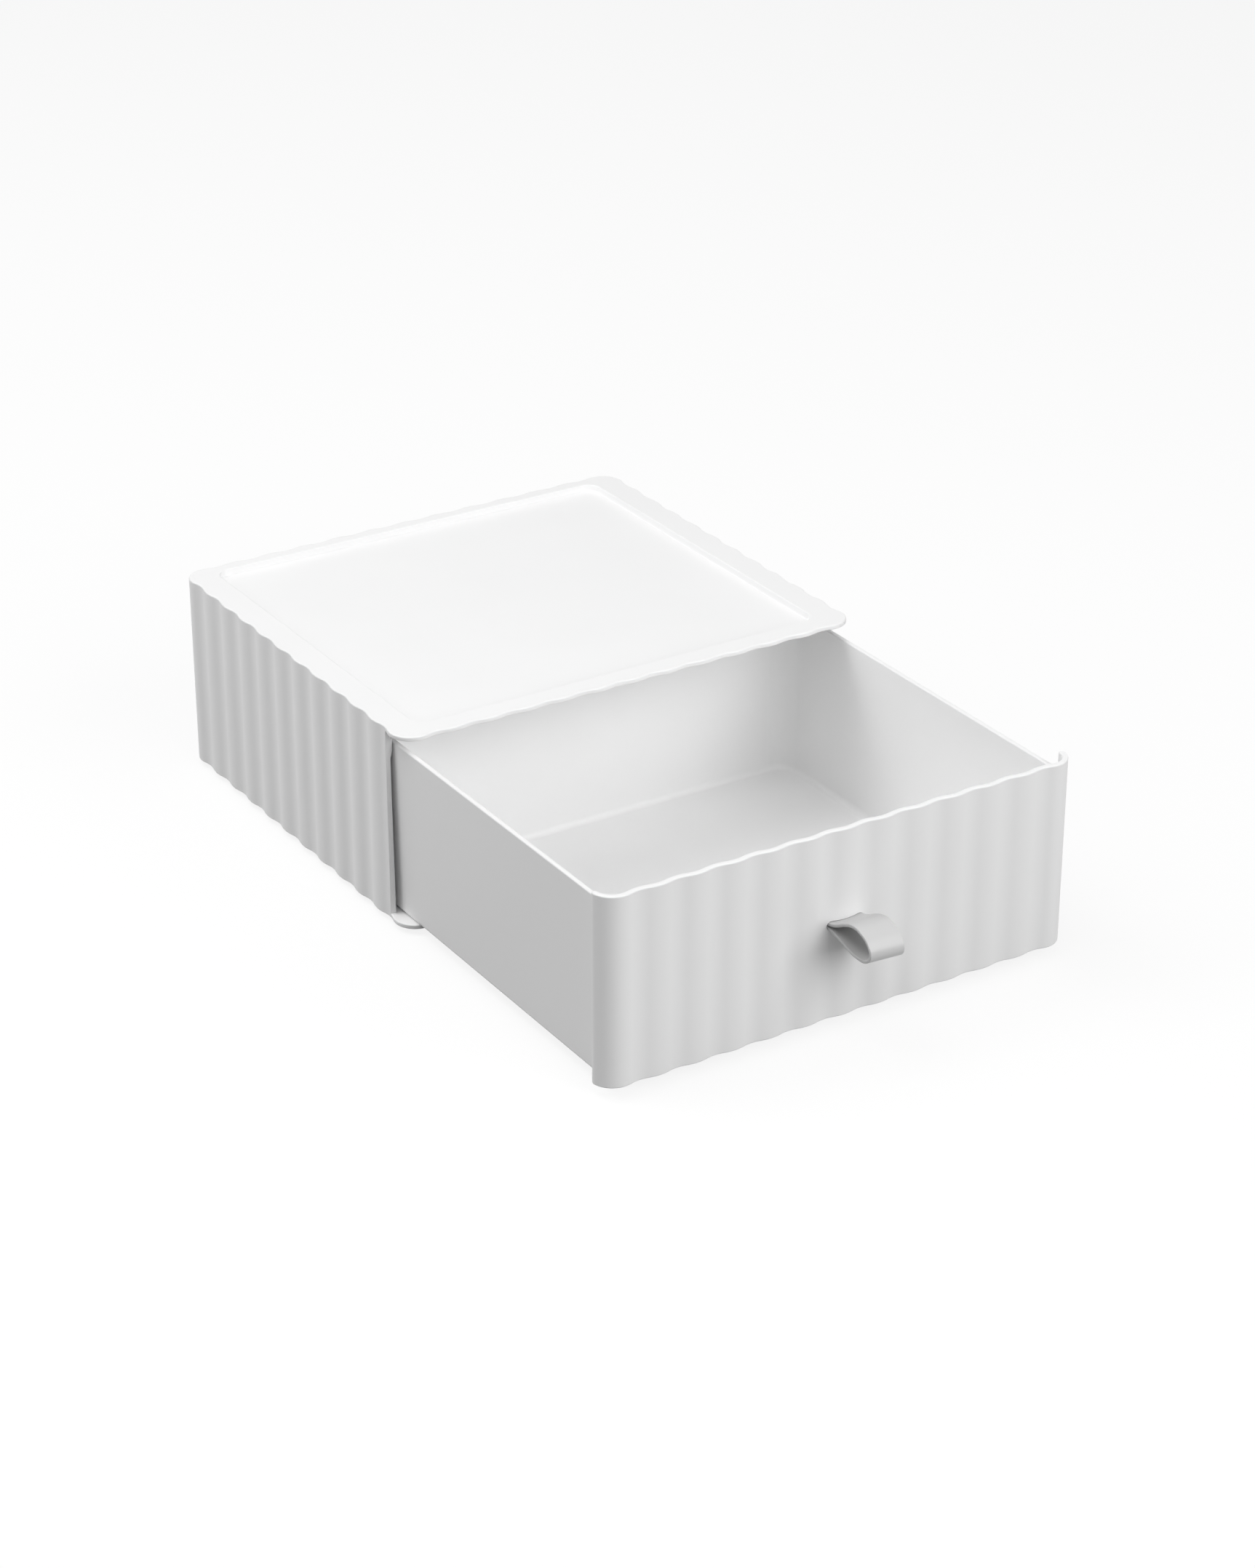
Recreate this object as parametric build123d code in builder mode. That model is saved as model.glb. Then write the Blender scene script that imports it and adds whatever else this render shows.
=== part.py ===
from build123d import *
from math import atan, degrees, radians, sin, tan
import os

# Stackable drawer box: a fluted white case, open at the front, with one sliding drawer.
# Millimetres. +Z is up, the drawer opens towards -Y, and the origin is the centre of the
# underside of the stacking foot. The drawer is drawn where it rests, drawer_out from closed.

# ---- case; its outline sizes run between the mean planes of the flutes ----
case_width = 164.4
case_depth = 147.0
case_height = 65.4  # from the lower edge of the fluted wall to the top of the rim
case_wall = 1.6  # side and back walls, measured in a flute's valley
case_panel = 1.5  # top panel, bottom panel and the lips in front of the side walls
case_inner_corner = 4.0  # upright inside corners at the back
wall_setback = 11.0  # from the front's mean plane back to the front ends of the side walls

# ---- flutes, shared by the case and the drawer's front ----
flutes_across = 11  # whole flutes across the front and the back
flutes_deep = 10  # whole flutes along each side
flute_depth = 0.8  # crest to valley
crest_share = 0.55  # the share of half a flute that is convex
corner_radius = 7.2  # the rounded lobe at each corner
corner_lobe = 12.1  # from a side's mean plane to the first valley round the corner

# ---- stacking recess in the top, and the foot under the bottom that fits it ----
recess_depth = 2.1
recess_side_rim = 9.5  # from the mean plane to the recess, left and right
recess_front_rim = 7.5
recess_back_rim = 4.5
recess_corner = 4.6
step_draft = 8.0  # degrees, the slope of the recess wall and of the foot's wall
foot_height = 1.8  # less than recess_depth, so that a stack is carried by the rims
foot_clearance = 0.6  # between a foot and the recess that it drops into, all round

# ---- guide rails high on the inside of the side walls ----
rail_top = 61.0  # above the lower edge of the fluted wall
rail_height = 6.8
rail_slope = 3.1  # height of the slanted underside
rail_clearance = 0.25  # between a rail's nose and the side of the drawer

# ---- drawer ----
drawer_out = 113.6  # how far the drawer stands out at rest
lip_gap = 0.4  # between the drawer's front and each lip
glide_gap = 0.3  # under the drawer
back_gap = 0.8  # behind the closed drawer
front_plate = 1.9  # thickness of the fluted front
drawer_side_inset = 3.0  # from the mean plane to the outside of the drawer's rim
drawer_rim_drop = 3.8  # from the top of the front down to the rim
drawer_wall = 1.6
drawer_floor = 1.6
drawer_draft = 0.72  # degrees, on the sides and the back
drawer_back_corner = 9.0  # upright outer corners at the back, at the floor
drawer_floor_fillet = 2.0  # inside, along the floor
drawer_keel_fillet = 1.2  # outside, along the floor
drawer_rim_round = 0.5
ear_outer_round = 0.9  # the free end of each ear, on its outside
ear_inner_round = 0.5

# ---- pull strap, the slot that it passes and the pin that holds it ----
strap_width = 12.0
strap_thickness = 1.0
strap_fold_gap = 0.1  # between the two layers in the slot
strap_reach = 20.6  # from the front's mean plane to the end of the loop
strap_nose = 5.1  # outer radius of the loop's round end
strap_lift = 0.9  # the round end's centre above the middle of the slot
slot_end_clearance = 0.45
slot_height_clearance = 0.35
pin_radius = 1.5
pin_overhang = 4.0  # the pin stands out of the strap by this much at each end
pin_clearance = 0.1

# ---- levels and planes that follow ----
half_width = case_width / 2
half_depth = case_depth / 2
valley_inset = flute_depth / 2  # from the mean plane in to a valley
wall_inset = valley_inset + case_wall  # from the mean plane to the flat inside face
wall_base = foot_height  # the lower edge of the fluted wall
case_top = wall_base + case_height
lip_under = case_top - case_panel  # underside of the top lip
ledge = wall_base + case_panel  # the ledge that the drawer rides on
inner_height = lip_under - ledge

front_bottom = ledge + lip_gap
front_height = inner_height - 2 * lip_gap
rim_top = front_bottom + front_height - drawer_rim_drop
tub_bottom = ledge + glide_gap
tub_height = rim_top - tub_bottom
draft_slope = tan(radians(drawer_draft))
drawer_face = -half_depth - drawer_out  # mean plane of the drawer's front
drawer_back = half_depth - wall_inset - back_gap - drawer_out  # outside of the rim
slot_level = front_bottom + front_height / 2


def half_flute(span, convex_radius=None):
    """Slope in degrees, convex radius and concave radius from a crest to a valley."""
    slope = 2 * atan(flute_depth / span)
    both_radii = span / sin(slope)
    convex = convex_radius or crest_share * both_radii
    return degrees(slope), convex, both_radii - convex


def side_turns(length, flutes):
    """Arcs, as (radius, turn), from the middle of a side out to its last valley."""
    slope, convex, concave = half_flute((length / 2 - corner_lobe) / flutes)
    falling = [(convex, slope), (concave, -slope)]
    turns = []
    for half in range(flutes):
        crest_comes_first = (flutes - half) % 2 == 1
        turns += falling if crest_comes_first else falling[::-1]
    return turns


def side_middle(half_length, flutes):
    """Distance from the centre to the middle of a side, which is a crest or a valley."""
    return half_length + (valley_inset if flutes % 2 else -valley_inset)


lobe_slope, _, lobe_valley_radius = half_flute(
    corner_lobe - corner_radius + valley_inset, corner_radius
)
lobe_valley = (lobe_valley_radius, -lobe_slope)
front_turns = side_turns(case_width, flutes_across) + [lobe_valley]
flank_turns = side_turns(case_depth, flutes_deep) + [lobe_valley]
front_middle = (0, -side_middle(half_depth, flutes_across))


def draw_turns(start, turns, inset=0.0):
    """Draw tangent arcs from a front's middle, with the outside on the right hand.

    The inset moves the line inwards: a convex arc loses it and a concave one gains it.
    """
    heading = (1, 0)
    for radius, turn in turns:
        arc = JernArc(start, heading, radius - inset if turn > 0 else radius + inset, turn)
        start, heading = arc @ 1, arc % 1
    return start


def stacking_panel(clearance=0.0, growth=0.0):
    """The plan of the recess, less a clearance, or grown by a wall's thickness."""
    change = growth - clearance
    with Locations((0, (recess_front_rim - recess_back_rim) / 2)):
        RectangleRounded(
            case_width - 2 * recess_side_rim + 2 * change,
            case_depth - recess_front_rim - recess_back_rim + 2 * change,
            recess_corner + change,
        )


# ---- case: one moulding, fluted outside and flat inside ----
with BuildPart() as case:
    with BuildSketch(Plane.XY.offset(wall_base)):
        with BuildLine():
            corner_turn = (corner_radius, 90 + 2 * lobe_slope)
            draw_turns(front_middle, front_turns + [corner_turn] + flank_turns[::-1])
            mirror(about=Plane.YZ)
            mirror(about=Plane.XZ)
        make_face()
    extrude(amount=case_height)

    # foot under the bottom
    with BuildSketch(Plane.XY.offset(wall_base)):
        stacking_panel(clearance=foot_clearance)
    extrude(amount=-foot_height, taper=step_draft)

    # cavity for the drawer, from the front edge of the side walls to the back wall
    with BuildSketch(Plane.XY.offset(ledge)):
        with Locations((0, (wall_setback - wall_inset) / 2)):
            Rectangle(case_width - 2 * wall_inset, case_depth - wall_setback - wall_inset)
        fillet(vertices().group_by(Axis.Y)[-1], case_inner_corner)
    extrude(amount=inner_height, mode=Mode.SUBTRACT)

    # in front of the side walls only the two lips are left
    with BuildSketch(Plane.XY.offset(ledge)):
        with Locations((0, -half_depth)):
            Rectangle(case_width + 2 * corner_radius, 2 * wall_setback)
    extrude(amount=inner_height, mode=Mode.SUBTRACT)

    # recess in the top; the panels keep their thickness below it and above the foot
    with BuildSketch(Plane.XY.offset(lip_under)):
        stacking_panel(growth=case_panel)
    extrude(amount=-recess_depth, taper=step_draft)
    with BuildSketch(Plane.XY.offset(case_top)):
        stacking_panel()
    extrude(amount=-recess_depth, taper=step_draft, mode=Mode.SUBTRACT)
    with BuildSketch(Plane.XY.offset(ledge)):
        stacking_panel(clearance=foot_clearance + case_panel)
    extrude(amount=-foot_height, taper=step_draft, mode=Mode.SUBTRACT)

    # a guide rail along each side wall, with a slanted underside
    with BuildSketch(Plane.XZ.offset(half_depth - wall_setback)):
        with BuildLine():
            at_wall = half_width - wall_inset
            at_nose = half_width - drawer_side_inset + rail_clearance
            top = wall_base + rail_top
            bottom = top - rail_height
            Polyline(
                (at_wall, bottom),
                (at_wall, top),
                (at_nose, top),
                (at_nose, bottom + rail_slope),
                close=True,
            )
        make_face()
        mirror(about=Plane.YZ)
    extrude(amount=-(case_depth - wall_setback - wall_inset))
case.part.label = "case"

# ---- drawer: a drafted tub and its fluted front, one moulding ----
tub_front = drawer_face + front_plate / 2  # buried in the front plate all along the wave
tub_lead = 2 * drawer_back_corner  # the tub is drawn longer, and cut at tub_front
tub_base_back = drawer_back - tub_height * draft_slope
tub_base_half = half_width - drawer_side_inset - tub_height * draft_slope


def tub_plan(height, wall):
    """The tub's plan at a height above its underside, less a wall."""
    change = height * draft_slope - wall
    back = tub_base_back + change
    front = tub_front - tub_lead
    with Locations((0, (front + back) / 2)):
        RectangleRounded(2 * (tub_base_half + change), back - front, drawer_back_corner + change)


with BuildPart() as drawer:
    with BuildSketch(Plane.XY.offset(tub_bottom)):
        tub_plan(0, 0)
    extrude(amount=tub_height, taper=-drawer_draft)
    floor_top = tub_bottom + drawer_floor
    with BuildSketch(Plane.XY.offset(floor_top)):
        tub_plan(drawer_floor, drawer_wall)
    extrude(amount=tub_height, taper=-drawer_draft, mode=Mode.SUBTRACT)
    split(bisect_by=Plane.XZ.offset(-tub_front), keep=Keep.BOTTOM)

    # the front end of the tub stays square, because the plate covers it
    inside_floor = edges().filter_by_position(Axis.Z, floor_top - 0.01, floor_top + 0.01)
    fillet(inside_floor.sort_by(Axis.Y)[1:], drawer_floor_fillet)
    fillet(edges().group_by(Axis.Z)[0].sort_by(Axis.Y)[1:], drawer_keel_fillet)
    fillet(edges().group_by(Axis.Z)[-1].sort_by(Axis.Y)[2:], drawer_rim_round)

    # front plate, of one thickness, with an ear curving back at each end
    with BuildSketch(Plane((0, -drawer_out, front_bottom))):
        with BuildLine():
            ear_turns = front_turns + [(corner_radius, 90 + lobe_slope)]
            inner_middle = (0, front_middle[1] + front_plate)
            outer_end = draw_turns(front_middle, ear_turns)
            inner_end = draw_turns(inner_middle, ear_turns, inset=front_plate)
            Line(outer_end, inner_end)
            mirror(about=Plane.YZ)
        make_face()
        ear_ends = vertices().group_by(Axis.Y)[-1].sort_by(Axis.X)
        fillet([ear_ends[0], ear_ends[-1]], ear_outer_round)
        ear_ends = vertices().group_by(Axis.Y)[-1].sort_by(Axis.X)
        fillet([ear_ends[1], ear_ends[-2]], ear_inner_round)
    extrude(amount=front_height)

    # slot for the strap, in the middle of the front
    slot_height = 2 * (strap_thickness + slot_height_clearance) + strap_fold_gap
    with BuildSketch(Plane((0, drawer_face, slot_level), x_dir=(1, 0, 0), z_dir=(0, -1, 0))):
        SlotOverall(strap_width + 2 * slot_end_clearance, slot_height)
    extrude(amount=2 * front_plate, both=True, mode=Mode.SUBTRACT)
drawer.part.label = "drawer"

# ---- pull strap: a closed band, teardrop outside the front and wrapped round the pin ----
strap_plane = Plane((0, drawer_face, slot_level), x_dir=(0, -1, 0), z_dir=(-1, 0, 0))
neck_half = strap_thickness + strap_fold_gap / 2
eye_bore = pin_radius + pin_clearance
eye_radius = eye_bore + strap_thickness
eye_depth = valley_inset + front_plate + pin_clearance + eye_radius
nose_centre = (strap_reach - strap_nose, strap_lift)
neck_centre = (valley_inset, 0)


def teardrop(inset):
    """The hull of the loop's round end and the end of the neck, less an inset."""
    with Locations(nose_centre):
        Circle(strap_nose - inset)
    with Locations(neck_centre):
        Circle(neck_half - inset)
    make_hull()


with BuildPart() as pull_strap:
    with BuildSketch(strap_plane):
        teardrop(0)
        with Locations((-eye_depth, 0)):
            Circle(eye_radius)
        with Locations(((valley_inset - eye_depth) / 2, 0)):
            Rectangle(valley_inset + eye_depth, 2 * neck_half)
    extrude(amount=strap_width / 2, both=True)
    with BuildSketch(strap_plane):
        teardrop(strap_thickness)
    extrude(amount=strap_width / 2, both=True, mode=Mode.SUBTRACT)
    with BuildSketch(strap_plane):
        with Locations((-eye_depth, 0)):
            Circle(eye_bore)
    extrude(amount=strap_width / 2, both=True, mode=Mode.SUBTRACT)
pull_strap.part.label = "pull_strap"

# ---- strap pin: lies across the inside of the front, through the strap's eye ----
with BuildPart() as strap_pin:
    with BuildSketch(strap_plane):
        with Locations((-eye_depth, 0)):
            Circle(pin_radius)
    extrude(amount=strap_width / 2 + pin_overhang, both=True)
strap_pin.part.label = "strap_pin"

os.makedirs("parts", exist_ok=True)
export_step(case.part, "parts/case.step")
export_step(drawer.part, "parts/drawer.step")
export_step(pull_strap.part, "parts/pull_strap.step")
export_step(strap_pin.part, "parts/strap_pin.step")
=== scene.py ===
"""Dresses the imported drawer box: a fluted case, its drawer, a soft pull strap and the strap's pin.

Every size in the classes is in millimetres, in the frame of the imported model: +Z is up, the drawer
opens towards -Y, and the origin is the centre of the underside of the stacking foot. Blender works
in metres, so lengths are turned into metres where a mesh, a lamp or the camera is made.
"""

import logging
from collections.abc import Callable
from dataclasses import dataclass, field
from enum import Enum
from math import asin, atan, ceil, cos, degrees, pi, radians, sin, sqrt, tan

import bmesh
import bpy
from mathutils import Euler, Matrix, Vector

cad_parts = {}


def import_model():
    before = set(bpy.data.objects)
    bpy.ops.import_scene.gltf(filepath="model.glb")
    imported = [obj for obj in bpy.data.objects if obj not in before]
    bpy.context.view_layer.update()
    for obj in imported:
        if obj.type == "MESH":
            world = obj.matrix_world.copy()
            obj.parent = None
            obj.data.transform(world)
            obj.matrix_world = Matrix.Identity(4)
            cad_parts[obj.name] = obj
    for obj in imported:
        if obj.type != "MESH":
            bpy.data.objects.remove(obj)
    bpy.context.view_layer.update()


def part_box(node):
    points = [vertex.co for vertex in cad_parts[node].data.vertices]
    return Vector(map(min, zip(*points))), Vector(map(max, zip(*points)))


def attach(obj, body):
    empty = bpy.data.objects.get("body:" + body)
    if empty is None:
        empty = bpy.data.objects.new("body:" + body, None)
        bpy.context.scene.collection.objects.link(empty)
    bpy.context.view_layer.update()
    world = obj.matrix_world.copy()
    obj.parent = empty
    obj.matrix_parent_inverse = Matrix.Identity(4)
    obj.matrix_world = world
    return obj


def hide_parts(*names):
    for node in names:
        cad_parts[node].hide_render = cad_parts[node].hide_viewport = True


MM = 0.001  # metres in a millimetre
TRACE_STEP = 0.8  # the longest stretch of an arc that stays straight
WHOLE_RUN = 1000.0  # longer than any straight run, which is then a single stretch
ROUND_STEPS = 4  # faces across a rounded edge
SHARP_ANGLE = 35.0  # degrees; flatter joins between faces are shaded smooth
MERGE_DISTANCE = 0.001  # points closer than this are one point

log = logging.getLogger("drawer_box")


class Body(Enum):
    """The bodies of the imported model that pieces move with."""

    CASE = "case"
    DRAWER = "drawer"


class Slot(Enum):
    """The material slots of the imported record."""

    CASE = "case_plastic"
    DRAWER = "drawer_plastic"
    STRAP = "strap_vinyl"
    PIN = "pin_plastic"


# ---------------------------------------------------------------- outlines


@dataclass(frozen=True)
class Station:
    """A point of an outline, and the direction that faces out of it there."""

    place: Vector
    outward: Vector

    def mirrored(self, axis: int) -> "Station":
        """The station on the other side.

        Args:
            axis: the coordinate that changes sign.

        Returns:
            A new station.
        """
        place, outward = self.place.copy(), self.outward.copy()
        place[axis], outward[axis] = -place[axis], -outward[axis]
        return Station(place, outward)


class Tracer:
    """Walks along tangent arcs and straight runs, and keeps the stations that it passes.

    The outside lies on the right hand. A positive turn goes to the left.
    """

    def __init__(self, x: float, y: float, heading: float = 0.0) -> None:
        """Starts the walk.

        Args:
            x: where it starts.
            y: where it starts.
            heading: in degrees, where 0 is along +X.
        """
        self.place = Vector((x, y))
        self.heading = heading
        self.stations = [Station(self.place.copy(), self.right())]

    def right(self) -> Vector:
        """The direction to the right of the heading."""
        angle = radians(self.heading)
        return Vector((sin(angle), -cos(angle)))

    def arc(self, radius: float, turn: float) -> "Tracer":
        """Goes along an arc.

        Args:
            radius: of the arc.
            turn: by how many degrees the heading changes.

        Returns:
            The tracer, for the next step.
        """
        signed = radius if turn > 0 else -radius
        centre = self.place - signed * self.right()
        steps = max(2, ceil(radius * radians(abs(turn)) / TRACE_STEP))
        for _ in range(steps):
            self.heading += turn / steps
            self.place = centre + signed * self.right()
            self.stations.append(Station(self.place.copy(), self.right()))
        return self

    def arcs(self, turns: list[tuple[float, float]]) -> "Tracer":
        """Goes along several arcs.

        Args:
            turns: the radius and the turn of each.

        Returns:
            The tracer, for the next step.
        """
        for radius, turn in turns:
            self.arc(radius, turn)
        return self

    def straight(self, length: float, longest: float = WHOLE_RUN) -> "Tracer":
        """Goes straight on, in equal stretches.

        Args:
            length: how far.
            longest: the longest that a stretch may be.

        Returns:
            The tracer, for the next step.
        """
        steps = ceil(length / longest)
        ahead = Vector((cos(radians(self.heading)), sin(radians(self.heading))))
        for _ in range(steps):
            self.place = self.place + ahead * (length / steps)
            self.stations.append(Station(self.place.copy(), self.right()))
        return self

    def turn(self, angle: float) -> "Tracer":
        """Turns on the spot, at a sharp corner."""
        self.heading += angle
        return self


def closed_by_mirror(half: list[Station], axis: int) -> list[Station]:
    """Closes a half outline, whose two ends lie on the mirror line, with its mirror image.

    Args:
        half: the stations of the half.
        axis: the coordinate that changes sign.

    Returns:
        The whole outline, with no station twice.
    """
    return half + [station.mirrored(axis) for station in half[-2:0:-1]]


@dataclass(frozen=True)
class RoundedPanel:
    """A rectangle with rounded corners, seen from above."""

    half_width: float
    front: float
    back: float
    corner: float

    def grown(self, change: float) -> "RoundedPanel":
        """The same panel, larger all round.

        Args:
            change: how far each edge moves out.

        Returns:
            A new panel.
        """
        return RoundedPanel(
            self.half_width + change, self.front - change, self.back + change, self.corner + change
        )

    def drawn_from(self, outline: list[Station]) -> list[Station]:
        """The panel's outline, with its nearest point for each station of an outline round it.

        Args:
            outline: stations that all lie outside the panel.

        Returns:
            As many stations, on the panel's edge.
        """
        reach = self.half_width - self.corner
        found = []
        for station in outline:
            x, y = station.place
            core = Vector((
                min(max(x, -reach), reach),
                min(max(y, self.front + self.corner), self.back - self.corner),
            ))
            outward = (station.place - core).normalized()
            found.append(Station(core + outward * self.corner, outward))
        return found


@dataclass(frozen=True)
class Flutes:
    """The wavy outline that the case and the drawer's front share.

    Width and depth run between the mean planes of the flutes.
    """

    width: float
    depth: float
    across: int = 11
    deep: int = 10
    height: float = 0.8  # from crest to valley
    crest_share: float = 0.55  # the share of half a flute that is convex
    corner: float = 7.2  # radius of the lobe at each corner
    lobe: float = 12.1  # from a side's mean plane to the first valley round the corner

    def half_flute(self, span: float, convex: float | None = None) -> tuple[float, float, float]:
        """The two arcs that lead from a crest to a valley.

        Args:
            span: the distance between them along the side.
            convex: the radius of the crest, where it is given.

        Returns:
            The slope in degrees, the convex radius and the concave radius.
        """
        slope = 2 * atan(self.height / span)
        both_radii = span / sin(slope)
        convex = convex or self.crest_share * both_radii
        return degrees(slope), convex, both_radii - convex

    def side_turns(self, length: float, flutes: int) -> list[tuple[float, float]]:
        """Arcs from the middle of a side out to its last valley.

        Args:
            length: of the side, between the mean planes.
            flutes: how many the side has.

        Returns:
            The radius and the turn of each arc.
        """
        slope, convex, concave = self.half_flute((length / 2 - self.lobe) / flutes)
        falling = [(convex, slope), (concave, -slope)]
        turns = []
        for half in range(flutes):
            crest_comes_first = (flutes - half) % 2 == 1
            turns += falling if crest_comes_first else falling[::-1]
        return turns + [(self.lobe_valley, -self.lobe_slope)]

    @property
    def lobe_slope(self) -> float:
        """How far the outline swings out of a side into a corner lobe, in degrees."""
        return self.half_flute(self.lobe - self.corner + self.height / 2, self.corner)[0]

    @property
    def lobe_valley(self) -> float:
        """Concave radius between a corner lobe and the last valley."""
        return self.half_flute(self.lobe - self.corner + self.height / 2, self.corner)[2]

    @property
    def front_middle(self) -> float:
        """Where the outline crosses the middle of the front, which is a crest or a valley."""
        return -self.depth / 2 - self.height / 2 * (1 if self.across % 2 else -1)

    def outline(self) -> list[Station]:
        """The whole outline.

        Returns:
            Its stations, counter-clockwise from the middle of the front.
        """
        quarter = Tracer(0, self.front_middle)
        quarter.arcs(self.side_turns(self.width, self.across))
        quarter.arc(self.corner, 90 + 2 * self.lobe_slope)
        quarter.arcs(self.side_turns(self.depth, self.deep)[::-1])
        return closed_by_mirror(closed_by_mirror(quarter.stations, 1), 0)

    def plate_outline(self, plate: float, outer_round: float, inner_round: float) -> list[Station]:
        """The outline of a front plate of one thickness, with an ear curving back at each end.

        Args:
            plate: thickness.
            outer_round: radius at the free end of each ear, on its outside.
            inner_round: radius at the free end of each ear, on its inside.

        Returns:
            The outline, counter-clockwise from the middle of the front.
        """
        turns = self.side_turns(self.width, self.across)
        inside = self.corner - plate
        outer_cut = degrees(asin(outer_round / (self.corner - outer_round)))
        inner_cut = degrees(asin(inner_round / (inside + inner_round)))
        end_width = (
            sqrt((self.corner - outer_round) ** 2 - outer_round**2)
            - sqrt((inside + inner_round) ** 2 - inner_round**2)
        )
        half = Tracer(0, self.front_middle).arcs(turns)
        half.arc(self.corner, 90 + self.lobe_slope - outer_cut)
        half.arc(outer_round, 90 + outer_cut).straight(end_width).arc(inner_round, 90 - inner_cut)
        half.arc(inside, inner_cut - 90 - self.lobe_slope)
        half.arcs([
            (radius - plate if turn > 0 else radius + plate, -turn) for radius, turn in turns[::-1]
        ])
        return closed_by_mirror(half.stations, 0)


# ---------------------------------------------------------------- meshes


def ring(outline: list[Station], inset: float, height: float) -> list[Vector]:
    """The outline moved inwards by an inset, at a height."""
    return [Vector((*(s.place - s.outward * inset), height)) for s in outline]


def quarter_round(
    start: tuple[float, float], end: tuple[float, float], leaves_level: bool
) -> list[tuple[float, float]]:
    """Rounds a corner of a section.

    Args:
        start: inset and height where the round begins.
        end: inset and height where it ends.
        leaves_level: True if it leaves the start level and ends upright, and False the other way.

    Returns:
        Insets and heights along a quarter of an ellipse, both ends included.
    """
    pairs = []
    for step in range(ROUND_STEPS + 1):
        angle = pi / 2 * step / ROUND_STEPS
        early, late = sin(angle), 1 - cos(angle)
        across, along = (early, late) if leaves_level else (late, early)
        pairs.append((
            start[0] + (end[0] - start[0]) * across,
            start[1] + (end[1] - start[1]) * along,
        ))
    return pairs


def section(outline: list[Station], pairs: list[tuple[float, float]]) -> list[list[Vector]]:
    """A ring for each inset and height of a section."""
    return [ring(outline, inset, height) for inset, height in pairs]


def deselect() -> None:
    """Leaves nothing selected, because an operator acts on all that is."""
    bpy.ops.object.select_all(action="DESELECT")


def pick(piece: bpy.types.Object) -> None:
    """Selects one piece alone and makes it active.

    Args:
        piece: the object.
    """
    deselect()
    piece.select_set(True)
    bpy.context.view_layer.objects.active = piece


def rolled_skin(name: str, rings: list[list[Vector]]) -> bpy.types.Object:
    """Rolls a flat grid into a closed skin through a row of rings, and caps both ends.

    Args:
        name: the object's name.
        rings: rings of equally many points, in millimetres.

    Returns:
        The object, with its normals facing out.
    """
    deselect()
    columns, rows = len(rings[0]), len(rings)
    bpy.ops.mesh.primitive_grid_add(x_subdivisions=columns, y_subdivisions=rows - 1)
    skin = bpy.context.active_object
    skin.name = name
    corners = [point * MM for each in rings for point in (*each, each[0])]
    skin.data.vertices.foreach_set("co", [value for point in corners for value in point])
    bpy.ops.object.mode_set(mode="EDIT")
    for row in (0, rows - 1):
        mesh = bmesh.from_edit_mesh(skin.data)
        mesh.verts.ensure_lookup_table()
        bpy.ops.mesh.select_all(action="DESELECT")
        first = row * (columns + 1)
        for vertex in mesh.verts[first:first + columns + 1]:
            vertex.select = True
        mesh.select_flush_mode()
        bmesh.update_edit_mesh(skin.data)
        bpy.ops.mesh.edge_face_add()
    bpy.ops.mesh.select_all(action="SELECT")
    bpy.ops.mesh.remove_doubles(threshold=MERGE_DISTANCE * MM)
    bpy.ops.mesh.normals_make_consistent(inside=False)
    bpy.ops.object.mode_set(mode="OBJECT")
    return skin


def apply_modifier(piece: bpy.types.Object, kind: str, **settings: object) -> None:
    """Adds a modifier to a piece and applies it.

    Args:
        piece: the object.
        kind: the modifier's type.
        settings: the modifier's own settings.
    """
    pick(piece)
    bpy.ops.object.modifier_add(type=kind)
    modifier = piece.modifiers[-1]
    for key, value in settings.items():
        setattr(modifier, key, value)
    bpy.ops.object.modifier_apply(modifier=modifier.name)


def combine(piece: bpy.types.Object, other: bpy.types.Object, operation: str) -> None:
    """Cuts another object out of a piece, or joins it on, and removes the other.

    Args:
        piece: the object that stays.
        other: the object that is used up.
        operation: UNION or DIFFERENCE.
    """
    apply_modifier(piece, "BOOLEAN", operation=operation, object=other, solver="EXACT")
    mesh = other.data
    bpy.data.objects.remove(other)
    bpy.data.meshes.remove(mesh)


def round_edges(
    piece: bpy.types.Object, radius: float, lies: Callable[[Vector], bool], steps: int = 3
) -> None:
    """Rounds the sharp edges of a piece that lie in one place.

    Args:
        piece: the object.
        radius: of the round, in millimetres.
        lies: tells of a point, in millimetres, whether it is in that place.
        steps: faces across the round.
    """
    pick(piece)
    bpy.ops.object.mode_set(mode="EDIT")
    bpy.ops.mesh.select_mode(type="EDGE")
    bpy.ops.mesh.select_all(action="DESELECT")
    mesh = bmesh.from_edit_mesh(piece.data)
    for edge in mesh.edges:
        if len(edge.link_faces) == 2 and degrees(edge.calc_face_angle()) > SHARP_ANGLE:
            edge.select = all(lies(vertex.co / MM) for vertex in edge.verts)
    bmesh.update_edit_mesh(piece.data)
    bpy.ops.mesh.bevel(
        offset=radius * MM, offset_type="OFFSET", segments=steps, profile=0.5, clamp_overlap=False
    )
    bpy.ops.mesh.select_mode(type="VERT")
    bpy.ops.object.mode_set(mode="OBJECT")


def finish_mesh(piece: bpy.types.Object) -> None:
    """Shades a piece smooth, with its flat faces flat right up to their rounded edges.

    Args:
        piece: the object.
    """
    pick(piece)
    bpy.ops.object.shade_smooth_by_angle(angle=radians(SHARP_ANGLE))
    apply_modifier(piece, "WEIGHTED_NORMAL", mode="FACE_AREA", weight=50, keep_sharp=True)


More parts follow.
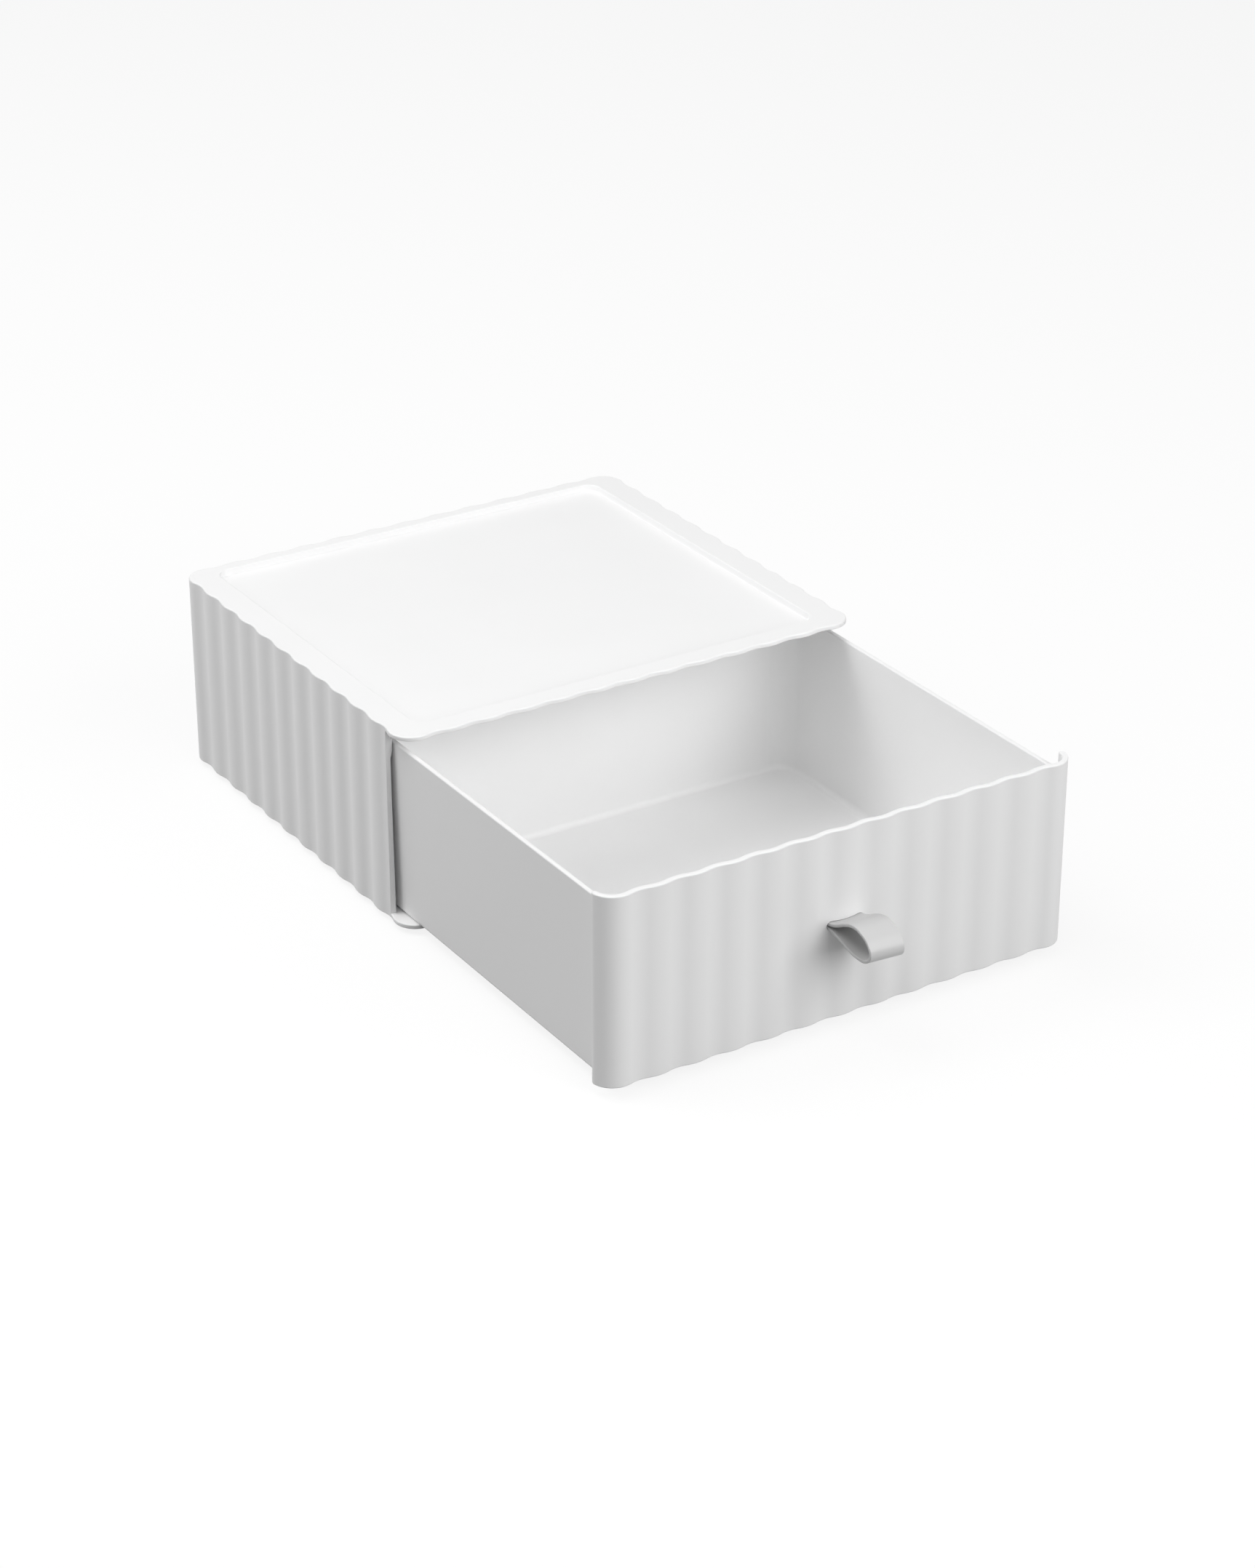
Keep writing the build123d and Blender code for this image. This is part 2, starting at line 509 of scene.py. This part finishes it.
def hand_over(
    piece: bpy.types.Object, material: bpy.types.Material, body: Body, node: str
) -> None:
    """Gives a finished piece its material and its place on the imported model.

    Args:
        piece: the object.
        material: its only material.
        body: the body that it moves with.
        node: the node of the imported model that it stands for.
    """
    piece.data.materials.clear()
    piece.data.materials.append(material)
    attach(piece, body.value)
    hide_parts(node)
    log.info("%s: %d faces, rides on %s", piece.name, len(piece.data.polygons), body.value)


# ---------------------------------------------------------------- finishes


def linear(hex_colour: str) -> tuple[float, float, float, float]:
    """Turns an sRGB colour into the linear one that Blender works with.

    Args:
        hex_colour: such as #f2f2f0.

    Returns:
        Red, green, blue and alpha.
    """
    channels = [int(hex_colour[place:place + 2], 16) / 255 for place in (1, 3, 5)]
    straight = [c / 12.92 if c <= 0.04045 else ((c + 0.055) / 1.055) ** 2.4 for c in channels]
    return (*straight, 1.0)


def add_node(
    tree: bpy.types.NodeTree,
    kind: str,
    inputs: dict[str, object] | None = None,
    **settings: object,
) -> bpy.types.Node:
    """Adds a node to a tree.

    Args:
        tree: the node tree.
        kind: the node's type.
        inputs: what goes into its sockets: a value, or another node's output.
        settings: the node's own settings.

    Returns:
        The node.
    """
    node = tree.nodes.new(kind)
    for key, value in settings.items():
        setattr(node, key, value)
    for key, value in (inputs or {}).items():
        if isinstance(value, bpy.types.NodeSocket):
            tree.links.new(value, node.inputs[key])
        else:
            node.inputs[key].default_value = value
    return node


@dataclass(frozen=True)
class MouldedPolypropylene:
    """White polypropylene, injection moulded against a fine spark-eroded tool.

    It looks soft and even: a broad dim sheen, a grain that only just shows, and no hard glints.
    """

    name: str
    colour: str = "#f5f5f5"
    shadow_colour: str = "#f2f2f2"
    roughness: float = 0.5
    roughness_spread: float = 0.04
    ior: float = 1.49
    grain: float = 0.45  # the tool's spark grain, drawn some five times coarser so that it shows
    grain_height: float = 0.006
    grain_strength: float = 0.6
    flow: float = 35.0  # slow bands where the melt ran into the mould

    def make(self) -> bpy.types.Material:
        """Makes the material.

        Returns:
            The material, with a node tree of its own.
        """
        material = bpy.data.materials.new(self.name)
        material.use_nodes = True
        tree = material.node_tree
        tree.nodes.clear()
        place = add_node(tree, "ShaderNodeTexCoord").outputs["Object"]
        flow = add_node(
            tree, "ShaderNodeTexNoise", {"Vector": place, "Scale": 1 / (self.flow * MM), "Detail": 2.0}
        )
        grain = add_node(
            tree, "ShaderNodeTexNoise", {"Vector": place, "Scale": 1 / (self.grain * MM), "Detail": 3.0}
        )
        tint = add_node(
            tree,
            "ShaderNodeMix",
            {"Factor": flow.outputs["Fac"], 6: linear(self.shadow_colour), 7: linear(self.colour)},
            data_type="RGBA",
        )
        sheen = add_node(
            tree,
            "ShaderNodeMapRange",
            {
                "Value": flow.outputs["Fac"],
                "To Min": self.roughness - self.roughness_spread,
                "To Max": self.roughness + self.roughness_spread,
            },
        )
        bump = add_node(
            tree,
            "ShaderNodeBump",
            {
                "Height": grain.outputs["Fac"],
                "Strength": self.grain_strength,
                "Distance": self.grain_height * MM,
            },
        )
        shader = add_node(
            tree,
            "ShaderNodeBsdfPrincipled",
            {
                "Base Color": tint.outputs[2],
                "Roughness": sheen.outputs["Result"],
                "Normal": bump.outputs["Normal"],
                "IOR": self.ior,
            },
        )
        add_node(tree, "ShaderNodeOutputMaterial", {"Surface": shader.outputs["BSDF"]})
        return material


@dataclass(frozen=True)
class SoftVinyl:
    """Flexible white vinyl, calendered smooth and a little greyer and glossier than the case."""

    name: str
    colour: str = "#cfcfcf"
    roughness: float = 0.38
    roughness_spread: float = 0.05
    ior: float = 1.53
    ripple: float = 1.6  # faint unevenness of a soft sheet
    ripple_height: float = 0.02
    ripple_strength: float = 0.5

    def make(self) -> bpy.types.Material:
        """Makes the material.

        Returns:
            The material, with a node tree of its own.
        """
        material = bpy.data.materials.new(self.name)
        material.use_nodes = True
        tree = material.node_tree
        tree.nodes.clear()
        place = add_node(tree, "ShaderNodeTexCoord").outputs["Object"]
        ripple = add_node(
            tree, "ShaderNodeTexNoise", {"Vector": place, "Scale": 1 / (self.ripple * MM), "Detail": 2.0}
        )
        bump = add_node(
            tree,
            "ShaderNodeBump",
            {
                "Height": ripple.outputs["Fac"],
                "Strength": self.ripple_strength,
                "Distance": self.ripple_height * MM,
            },
        )
        sheen = add_node(
            tree,
            "ShaderNodeMapRange",
            {
                "Value": ripple.outputs["Fac"],
                "To Min": self.roughness - self.roughness_spread,
                "To Max": self.roughness + self.roughness_spread,
            },
        )
        shader = add_node(
            tree,
            "ShaderNodeBsdfPrincipled",
            {
                "Base Color": linear(self.colour),
                "Roughness": sheen.outputs["Result"],
                "Normal": bump.outputs["Normal"],
                "IOR": self.ior,
            },
        )
        add_node(tree, "ShaderNodeOutputMaterial", {"Surface": shader.outputs["BSDF"]})
        return material


# ---------------------------------------------------------------- the box


@dataclass(frozen=True)
class StackingStep:
    """The recess in the top and the foot under the bottom, which fits into it."""

    recess_depth: float = 2.1
    side_rim: float = 9.5  # from the mean plane to the recess, left and right
    front_rim: float = 7.5
    back_rim: float = 4.5
    corner: float = 4.6
    draft: float = 8.0  # degrees
    foot_height: float = 1.8
    clearance: float = 0.6

    def slope(self) -> float:
        """How far the drafted walls lean in for each millimetre of height."""
        return tan(radians(self.draft))

    def recess(self, flutes: Flutes) -> RoundedPanel:
        """The plan of the recess at the rim.

        Args:
            flutes: the outline round it.

        Returns:
            The recess's own panel.
        """
        half_depth = flutes.depth / 2
        return RoundedPanel(
            flutes.width / 2 - self.side_rim,
            self.front_rim - half_depth,
            half_depth - self.back_rim,
            self.corner,
        )

    def foot(self, flutes: Flutes) -> RoundedPanel:
        """The plan of the foot where it leaves the bottom."""
        return self.recess(flutes).grown(-self.clearance)


@dataclass
class Case:
    """The case: one moulding, fluted outside and flat inside, open at the front."""

    wall: float = 1.6  # side and back walls, measured in a flute's valley
    panel: float = 1.5  # top panel, bottom panel and the lips in front of the side walls
    inner_corner: float = 4.0
    wall_setback: float = 11.0  # from the front's mean plane back to the side walls' front ends
    edge_round: float = 0.45
    recess_round: float = 0.35
    recess_fillet: float = 0.6
    foot_round: float = 0.4
    lip_round: float = 0.35
    rail_top: float = 61.0  # above the lower edge of the fluted wall
    rail_height: float = 6.8
    rail_slope: float = 3.1
    rail_nose: float = 2.75  # from the mean plane to the face of a guide rail
    cavity_step: float = 2.0  # the longest stretch of a straight wall of the cavity
    step: StackingStep = field(default_factory=StackingStep)

    def __post_init__(self) -> None:
        """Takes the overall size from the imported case."""
        low, high = (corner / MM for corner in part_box("case"))
        wave = Flutes.height
        self.flutes = Flutes(width=high.x - low.x - wave, depth=high.y - low.y - wave)
        self.base = low.z + self.step.foot_height
        self.top = high.z
        self.ledge = self.base + self.panel
        self.lip_under = self.top - self.panel
        self.wall_inset = self.flutes.height / 2 + self.wall
        self.wall_front = self.wall_setback - self.flutes.depth / 2

    def body(self) -> bpy.types.Object:
        """The outside: a solid block with its foot, fluted walls and recess.

        Returns:
            The block.
        """
        wave = self.flutes.outline()
        step, lean = self.step, self.step.slope()
        foot = step.foot(self.flutes).drawn_from(wave)
        recess = step.recess(self.flutes).drawn_from(wave)
        edge, small = self.edge_round, self.recess_round
        foot_toe = step.foot_height * lean
        recess_toe = step.recess_depth * lean
        floor = self.top - step.recess_depth
        under = self.base - step.foot_height
        fillet = self.recess_fillet
        foot_edge = quarter_round(
            (foot_toe + self.foot_round, under), (foot_toe, under + self.foot_round), True
        )
        lower_edge = quarter_round((edge, self.base), (0, self.base + edge), True)
        upper_edge = quarter_round((0, self.top - edge), (edge, self.top), False)
        recess_edge = quarter_round((-small, self.top), (0, self.top - small), True)
        recess_foot = quarter_round((recess_toe, floor + fillet), (recess_toe + fillet, floor), False)
        rings = section(foot, foot_edge + [(0, self.base)])
        rings += section(wave, lower_edge + upper_edge)
        rings += section(recess, recess_edge + recess_foot)
        return rolled_skin("case_shell", rings)

    def cavity(self) -> bpy.types.Object:
        """What is cut out: the drawer's space, and everything but the lips in front of the walls.

        Returns:
            The cutter.
        """
        beyond = 20.0  # how far the cutter reaches past the case
        half_inside = self.flutes.width / 2 - self.wall_inset
        half_wide = half_inside + beyond
        back = self.flutes.depth / 2 - self.wall_inset
        front = -self.flutes.depth / 2 - beyond
        corner = self.inner_corner
        step = self.cavity_step
        half = Tracer(0, front).straight(half_wide, step).turn(90)
        half.straight(self.wall_front - front, step).turn(90)
        half.straight(beyond, step).turn(-90)
        half.straight(back - corner - self.wall_front, step).arc(corner, 90)
        half.straight(half_inside - corner, step)
        plan = closed_by_mirror(half.stations, 0)
        cavity = rolled_skin("cavity", section(plan, [(0, self.ledge), (0, self.lip_under)]))
        combine(cavity, self.foot_pan(), "UNION")
        combine(cavity, self.recess_pan(), "DIFFERENCE")
        return cavity

    def foot_pan(self) -> bpy.types.Object:
        """What the cavity gains above the foot, where the panel keeps its thickness.

        Returns:
            The pan, which reaches a little way up into the cavity.
        """
        plan = self.step.foot(self.flutes).grown(-self.panel).drawn_from(self.flutes.outline())
        depth, lean, past = self.step.foot_height, self.step.slope(), self.panel / 2
        pairs = [(depth * lean, self.ledge - depth), (-past * lean, self.ledge + past)]
        return rolled_skin("foot_pan", section(plan, pairs))

    def recess_pan(self) -> bpy.types.Object:
        """What the cavity loses below the recess, where the panel keeps its thickness.

        Returns:
            The pan, which reaches a little way up out of the cavity.
        """
        plan = self.step.recess(self.flutes).grown(self.panel).drawn_from(self.flutes.outline())
        depth, lean, past = self.step.recess_depth, self.step.slope(), self.panel / 2
        pairs = [(depth * lean, self.lip_under - depth), (-past * lean, self.lip_under + past)]
        return rolled_skin("recess_pan", section(plan, pairs))

    def rail(self, side: int) -> bpy.types.Object:
        """A guide rail, with a slanted underside, sunk a little into its wall.

        Args:
            side: -1 for the left wall and 1 for the right one.

        Returns:
            The rail.
        """
        face = self.flutes.width / 2 - self.rail_nose
        root = self.flutes.width / 2 - self.wall_inset + self.wall / 2
        back = self.flutes.depth / 2 - self.wall_inset - self.inner_corner / 2
        top = self.base + self.rail_top
        bottom = top - self.rail_height
        sunk = self.rail_slope * (root - face) / (root - self.wall / 2 - face)
        low = bottom + self.rail_slope - sunk
        deselect()
        bpy.ops.mesh.primitive_cube_add(size=1)
        rail = bpy.context.active_object
        rail.name = "rail"
        for vertex in rail.data.vertices:
            inner, upper = vertex.co.x < 0, vertex.co.z > 0
            level = top if upper else (bottom + self.rail_slope if inner else low)
            place = Vector((face if inner else root, back if vertex.co.y > 0 else self.wall_front, level))
            place.x *= side
            vertex.co = place * MM
        pick(rail)
        bpy.ops.object.mode_set(mode="EDIT")
        bpy.ops.mesh.select_all(action="SELECT")
        bpy.ops.mesh.normals_make_consistent(inside=False)
        bpy.ops.object.mode_set(mode="OBJECT")
        return rail

    def build(self) -> bpy.types.Object:
        """Builds the case.

        Returns:
            The finished mesh.
        """
        shell = self.body()
        combine(shell, self.cavity(), "DIFFERENCE")
        for side in (-1, 1):
            combine(shell, self.rail(side), "UNION")
        reach = self.wall_front + MERGE_DISTANCE
        round_edges(shell, self.lip_round, lambda point: point.y < reach)
        finish_mesh(shell)
        return shell


@dataclass
class Drawer:
    """The drawer: a drafted tub and its fluted front, one moulding."""

    plate: float = 1.9  # thickness of the fluted front
    side_inset: float = 3.0  # from the mean plane to the outside of the rim
    rim_drop: float = 3.8  # from the top of the front down to the rim
    wall: float = 1.6
    floor: float = 1.6
    draft: float = 0.72  # degrees
    back_corner: float = 9.0
    floor_fillet: float = 2.0
    keel_fillet: float = 1.2
    rim_round: float = 0.5
    edge_round: float = 0.45
    ear_outer_round: float = 0.9
    ear_inner_round: float = 0.5
    plate_lift: float = 0.1  # from the underside of the tub up to the front's lower edge
    slot_width: float = 12.9
    slot_height: float = 2.8
    slot_round: float = 0.25
    slot_end_steps: int = 10

    def __post_init__(self) -> None:
        """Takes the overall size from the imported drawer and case."""
        low, high = (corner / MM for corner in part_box("drawer"))
        case_low, case_high = (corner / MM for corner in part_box("case"))
        wave = Flutes.height
        self.flutes = Flutes(
            width=case_high.x - case_low.x - wave, depth=case_high.y - case_low.y - wave
        )
        self.out = case_low.y - low.y
        self.under = low.z
        self.top = high.z
        self.back = high.y
        self.face = low.y + wave / 2
        self.lower_edge = self.under + self.plate_lift
        self.slot_level = (self.lower_edge + self.top) / 2

    def tub(self) -> bpy.types.Object:
        """The tub, cut off where it runs into the front plate.

        Returns:
            The tub.
        """
        lean = tan(radians(self.draft))
        rim = self.top - self.rim_drop
        half_width = self.flutes.width / 2 - self.side_inset - (rim - self.under) * lean
        back = self.back - (rim - self.under) * lean
        cut = self.face + self.plate / 2
        corner = self.back_corner
        front = cut - 2 * corner
        half = Tracer(0, front).straight(half_width - corner).arc(corner, 90)
        half.straight(back - front - 2 * corner).arc(corner, 90).straight(half_width - corner)
        plan = closed_by_mirror(half.stations, 0)

        floor = self.under + self.floor
        keel, small, fillet = self.keel_fillet, self.rim_round, self.floor_fillet
        pairs = quarter_round((keel, self.under), (0, self.under + keel), True)
        pairs += quarter_round((0, rim - small), (small, rim), False)
        pairs += quarter_round((self.wall - small, rim), (self.wall, rim - small), True)
        pairs += quarter_round((self.wall, floor + fillet), (self.wall + fillet, floor), False)
        leaning = [(inset - (height - self.under) * lean, height) for inset, height in pairs]
        tub = rolled_skin("drawer_tub", section(plan, leaning))
        bpy.ops.object.mode_set(mode="EDIT")
        bpy.ops.mesh.select_all(action="SELECT")
        bpy.ops.mesh.bisect(
            plane_co=(0, cut * MM, 0), plane_no=(0, 1, 0), use_fill=True, clear_inner=True
        )
        bpy.ops.object.mode_set(mode="OBJECT")
        return tub

    def front(self) -> bpy.types.Object:
        """The fluted front plate with its two ears.

        Returns:
            The plate.
        """
        plan = [
            Station(station.place - Vector((0, self.out)), station.outward)
            for station in self.flutes.plate_outline(
                self.plate, self.ear_outer_round, self.ear_inner_round
            )
        ]
        edge = self.edge_round
        pairs = quarter_round((edge, self.lower_edge), (0, self.lower_edge + edge), True)
        pairs += quarter_round((0, self.top - edge), (edge, self.top), False)
        return rolled_skin("drawer_front", section(plan, pairs))

    def slot(self) -> bpy.types.Object:
        """The cutter of the strap's slot, a bar with round ends through the front.

        Returns:
            The cutter.
        """
        deselect()
        size = Vector((self.slot_width, 4 * self.plate, self.slot_height))
        middle = Vector((0, self.face, self.slot_level))
        bpy.ops.mesh.primitive_cube_add(size=1, location=middle * MM, scale=size * MM)
        cutter = bpy.context.active_object
        bpy.ops.object.transform_apply(location=True, scale=True)
        radius = self.slot_height / 2 - MERGE_DISTANCE
        round_edges(cutter, radius, lambda point: abs(point.x) > radius, self.slot_end_steps)
        return cutter

    def build(self) -> bpy.types.Object:
        """Builds the drawer.

        Returns:
            The finished mesh.
        """
        drawer = self.front()
        combine(drawer, self.tub(), "UNION")
        combine(drawer, self.slot(), "DIFFERENCE")
        drawer.name = "drawer_moulding"
        round_edges(drawer, self.slot_round, self.is_at_slot)
        finish_mesh(drawer)
        return drawer

    def is_at_slot(self, point: Vector) -> bool:
        """Whether a point lies at the edge of the strap's slot."""
        near = self.slot_width / 2 + self.slot_round
        return abs(point.x) < near and abs(point.z - self.slot_level) < self.slot_height


@dataclass
class PullStrap:
    """The pull: one soft band round its pin, out through the slot and back, as a loose loop."""

    width: float = 12.0
    thickness: float = 1.0
    edge_round: float = 0.3
    sag: float = 0.8  # how much lower the loop hangs at its right edge
    # the middle of the band from the pin round the loop and back: out of the front, and up
    loop: tuple[tuple[float, float], ...] = (
        (-7.1, 0.0),
        (-6.5, 1.5),
        (-5.0, 2.1),
        (-3.5, 1.5),
        (-2.0, 0.8),
        (0.2, 0.86),
        (3.2, 1.9),
        (7.2, 4.0),
        (11.2, 5.3),
        (15.2, 4.9),
        (18.6, 2.9),
        (20.1, -0.2),
        (18.3, -2.7),
        (14.2, -3.6),
        (9.5, -3.0),
        (4.5, -1.6),
        (0.2, -0.86),
        (-2.0, -0.8),
        (-3.5, -1.5),
        (-5.0, -2.1),
        (-6.5, -1.5),
    )
    steps: int = 8  # straight pieces of the band between two of those points

    def build(self, drawer: Drawer) -> bpy.types.Object:
        """Builds the strap.

        Args:
            drawer: the drawer whose slot the strap passes.

        Returns:
            The finished mesh.
        """
        deselect()
        bpy.ops.curve.primitive_bezier_circle_add()
        curve = bpy.context.active_object
        curve.name = "pull_band"
        curve.data.resolution_u = self.steps
        line = curve.data.splines[0]
        line.bezier_points.add(len(self.loop) - len(line.bezier_points))
        for knot, (out, up) in zip(line.bezier_points, self.loop):
            knot.co = Vector((0, drawer.face - out, drawer.slot_level + up)) * MM
            knot.handle_left_type = knot.handle_right_type = "AUTO"
        bpy.ops.object.convert(target="MESH")
        band = bpy.context.active_object
        self.widen(band, drawer)
        apply_modifier(
            band, "SOLIDIFY", thickness=self.thickness * MM, offset=0.0, use_even_offset=True
        )
        round_edges(band, self.edge_round, lambda point: True)
        finish_mesh(band)
        return band

    def widen(self, band: bpy.types.Object, drawer: Drawer) -> None:
        """Extrudes the band's middle line to its width, and lets the right edge hang lower.

        Args:
            band: the line, which becomes a sheet.
            drawer: the drawer whose front the loop hangs from.
        """
        pick(band)
        bpy.ops.object.mode_set(mode="EDIT")
        bpy.ops.mesh.select_all(action="SELECT")
        bpy.ops.transform.translate(value=(-self.width / 2 * MM, 0, 0))
        bpy.ops.mesh.extrude_region_move(TRANSFORM_OT_translate={"value": (self.width * MM, 0, 0)})
        bpy.ops.mesh.select_all(action="SELECT")  # the extrusion leaves only its new edge selected
        bpy.ops.mesh.normals_make_consistent(inside=False)
        bpy.ops.object.mode_set(mode="OBJECT")
        reach = max(out for out, _ in self.loop)
        for vertex in band.data.vertices:
            out = max(0.0, drawer.face - vertex.co.y / MM) / reach
            across = vertex.co.x / MM / self.width + 0.5
            vertex.co.z -= self.sag * out * out * across * MM


@dataclass
class StrapPin:
    """The round pin behind the front that keeps the strap in its slot."""

    radius: float = 1.5
    end_round: float = 0.4
    sides: int = 48

    def build(self) -> bpy.types.Object:
        """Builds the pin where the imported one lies.

        Returns:
            The finished mesh.
        """
        low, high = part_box("strap_pin")
        deselect()
        bpy.ops.mesh.primitive_cylinder_add(
            vertices=self.sides,
            radius=self.radius * MM,
            depth=high.x - low.x,
            location=(low + high) / 2,
            rotation=(0, pi / 2, 0),
        )
        pin = bpy.context.active_object
        pin.name = "strap_pin_rod"
        bpy.ops.object.transform_apply(location=True, rotation=True)
        round_edges(pin, self.end_round, lambda point: True)
        finish_mesh(pin)
        return pin


# ---------------------------------------------------------------- the studio


@dataclass(frozen=True)
class Lamp:
    """A soft rectangular lamp that points at the box."""

    name: str
    azimuth: float  # degrees round the box; 0 stands in front of it and 90 at its right
    elevation: float
    distance: float  # metres
    size: float  # metres
    power: float  # watts

    def place(self, target: Vector) -> None:
        """Hangs the lamp.

        Args:
            target: what it points at, in metres.
        """
        a, e = radians(self.azimuth), radians(self.elevation)
        away = Vector((sin(a) * cos(e), -cos(a) * cos(e), sin(e)))
        data = bpy.data.lights.new(self.name, "AREA")
        data.shape = "SQUARE"
        data.size = self.size
        data.energy = self.power
        lamp = bpy.data.objects.new(self.name, data)
        lamp.location = target + away * self.distance
        lamp.rotation_euler = away.to_track_quat("Z", "Y").to_euler()
        bpy.context.scene.collection.objects.link(lamp)


@dataclass(frozen=True)
class Studio:
    """The pale floor, the lamps, the world and the camera."""

    eye: tuple[float, float, float] = (-549.3, -939.5, 547.8)  # millimetres
    look_azimuth: float = 32.25  # degrees; the camera looks to the right of +Y
    look_down: float = 26.76
    focal_pixels: float = 5055.0  # on an image 2156 pixels high
    image_height: float = 2156.0
    sensor: float = 36.0
    view_reach: float = 100.0  # metres
    centre: tuple[float, float, float] = (0.0, -0.06, 0.03)  # metres
    floor_size: float = 20.0  # metres
    ambient: float = 0.12
    floor_white: float = 0.85  # how much of the floor's look is plain white to the eye
    floor_colour: str = "#fcfcfc"  # of the paper, to the eye
    floor_grey: str = "#8a8a8a"  # of the light that the paper throws back at the box
    lamps: tuple[Lamp, ...] = (
        Lamp("back_softbox", azimuth=-120.0, elevation=30.0, distance=1.6, size=1.0, power=7.4),
        Lamp("front_softbox", azimuth=20.0, elevation=30.0, distance=1.6, size=1.2, power=17.0),
        Lamp("high_back_softbox", azimuth=-135.0, elevation=62.0, distance=1.6, size=1.0, power=10.9),
        Lamp("high_front_softbox", azimuth=-45.0, elevation=62.0, distance=1.6, size=1.2, power=5.6),
    )

    def add_camera(self) -> None:
        """Puts the camera where the photograph was taken from."""
        data = bpy.data.cameras.new("camera")
        data.sensor_width = self.sensor
        data.lens = self.focal_pixels * self.sensor / self.image_height
        data.clip_end = self.view_reach
        camera = bpy.data.objects.new("camera", data)
        camera.location = Vector(self.eye) * MM
        camera.rotation_euler = Euler(
            (radians(90 - self.look_down), 0, -radians(self.look_azimuth))
        )
        bpy.context.scene.collection.objects.link(camera)
        bpy.context.scene.camera = camera

    @staticmethod
    def seen_directly(tree: bpy.types.NodeTree) -> bpy.types.NodeSocket:
        """Adds what tells apart the ways in which a surface is seen.

        Args:
            tree: the node tree to add it to.

        Returns:
            1 where the camera, a reflection or clear material sees the surface, and 0 elsewhere.
        """
        path = add_node(tree, "ShaderNodeLightPath")
        both = add_node(
            tree,
            "ShaderNodeMath",
            {0: path.outputs["Is Camera Ray"], 1: path.outputs["Is Glossy Ray"]},
            operation="MAXIMUM",
        )
        return add_node(
            tree,
            "ShaderNodeMath",
            {0: both.outputs[0], 1: path.outputs["Is Transmission Ray"]},
            operation="MAXIMUM",
        ).outputs[0]

    def add_floor(self) -> None:
        """Lays the white floor, which keeps a faint shadow of the box."""
        deselect()
        bpy.ops.mesh.primitive_plane_add(size=self.floor_size, location=(0, 0, 0))
        floor = bpy.context.active_object
        floor.name = "studio_floor"
        material = bpy.data.materials.new("white_paper")
        material.use_nodes = True
        tree = material.node_tree
        tree.nodes.clear()
        seen = self.seen_directly(tree)
        share = add_node(
            tree, "ShaderNodeMath", {0: seen, 1: self.floor_white}, operation="MULTIPLY"
        )
        colour = add_node(
            tree,
            "ShaderNodeMix",
            {"Factor": seen, 6: linear(self.floor_grey), 7: linear(self.floor_colour)},
            data_type="RGBA",
        )
        paper = add_node(tree, "ShaderNodeBsdfDiffuse", {"Color": colour.outputs[2]})
        glow = add_node(tree, "ShaderNodeEmission", {"Strength": 1.0})
        mixed = add_node(
            tree,
            "ShaderNodeMixShader",
            {0: share.outputs[0], 1: paper.outputs["BSDF"], 2: glow.outputs["Emission"]},
        )
        add_node(tree, "ShaderNodeOutputMaterial", {"Surface": mixed.outputs["Shader"]})
        floor.data.materials.append(material)

    def add_world(self) -> None:
        """Surrounds the box with an even dim grey, which the camera sees as white."""
        world = bpy.data.worlds.new("studio")
        world.use_nodes = True
        tree = world.node_tree
        tree.nodes.clear()
        strength = add_node(
            tree,
            "ShaderNodeMapRange",
            {"Value": self.seen_directly(tree), "To Min": self.ambient, "To Max": 1.0},
        )
        ground = add_node(tree, "ShaderNodeBackground", {"Strength": strength.outputs["Result"]})
        add_node(tree, "ShaderNodeOutputWorld", {"Surface": ground.outputs["Background"]})
        bpy.context.scene.world = world

    def build(self) -> None:
        """Sets the whole studio up."""
        self.add_camera()
        self.add_floor()
        self.add_world()
        for lamp in self.lamps:
            lamp.place(Vector(self.centre))
        bpy.context.scene.view_settings.view_transform = "Standard"


def main() -> None:
    """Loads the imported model, builds the studio and the pieces, and dresses them."""
    logging.basicConfig(level=logging.INFO, format="%(name)s: %(message)s")
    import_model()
    Studio().build()

    case, drawer = Case(), Drawer()
    hand_over(
        case.build(), MouldedPolypropylene("case_polypropylene").make(), Body.CASE, "case"
    )
    hand_over(
        drawer.build(),
        MouldedPolypropylene("drawer_polypropylene").make(),
        Body.DRAWER,
        "drawer",
    )
    hand_over(
        PullStrap().build(drawer), SoftVinyl("strap_vinyl").make(), Body.DRAWER, "pull_strap"
    )
    hand_over(
        StrapPin().build(),
        MouldedPolypropylene("pin_polypropylene", grain_height=0.003).make(),
        Body.DRAWER,
        "strap_pin",
    )


if __name__ == "__main__":
    main()
